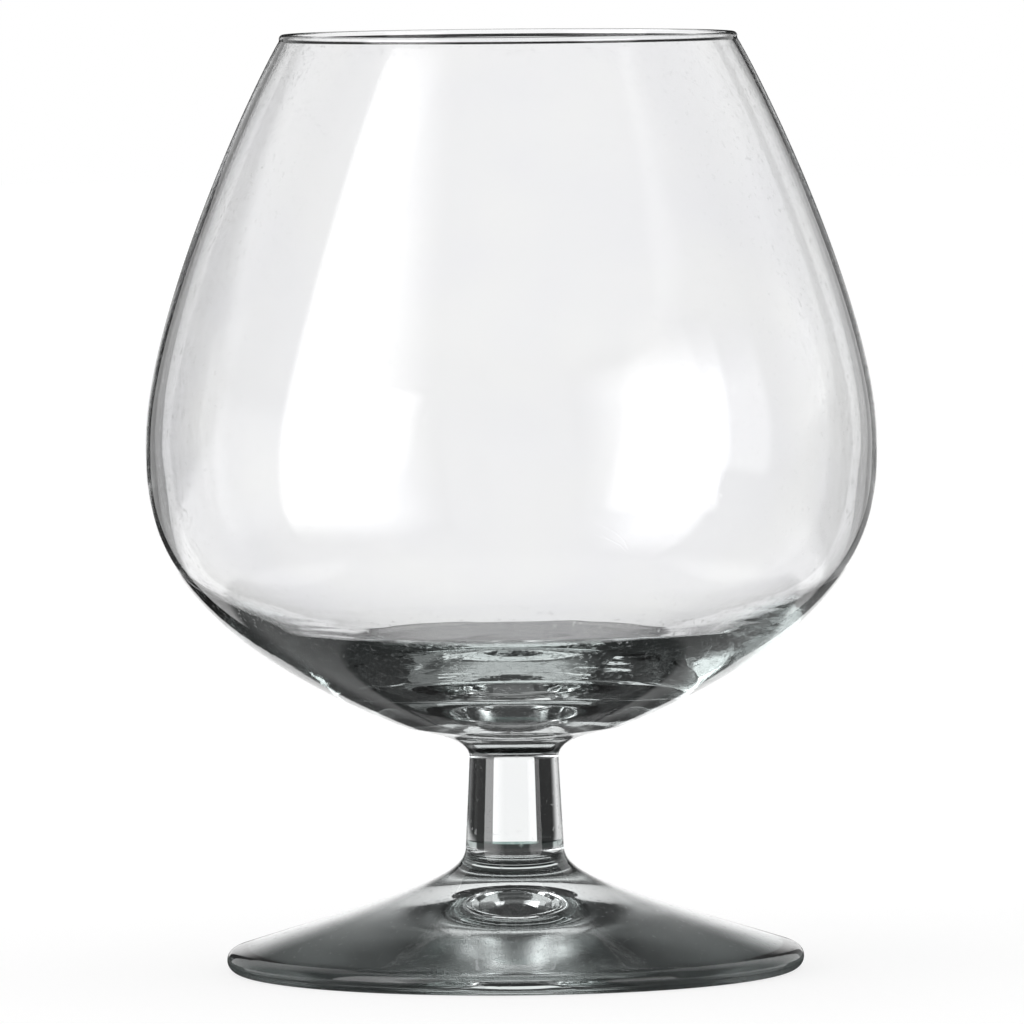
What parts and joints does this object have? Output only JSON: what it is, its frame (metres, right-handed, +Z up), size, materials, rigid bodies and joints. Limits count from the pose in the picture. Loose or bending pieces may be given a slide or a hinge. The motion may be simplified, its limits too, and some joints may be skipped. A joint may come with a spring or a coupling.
{
  "type": "brandy snifter",
  "caption": "Stemmed balloon glass: a wide thin-walled bowl that narrows to a beaded rim, on a short solid stem and a broad round foot.",
  "frame": {"origin": "centre of the foot, on the table", "axes": "+Z up along the axis of the glass; the glass is round, so +X and +Y have no natural direction"},
  "size_m": [0.085, 0.085, 0.109],
  "materials": {
    "bowl_glass": "clear, fire-polished",
    "stem_glass": "clear, fire-polished",
    "foot_glass": "clear, pressed and fire-polished"
  },
  "bodies": {
    "root": {"bowl": "bowl_glass", "stem": "stem_glass", "foot": "foot_glass"}
  },
  "joints": []
}
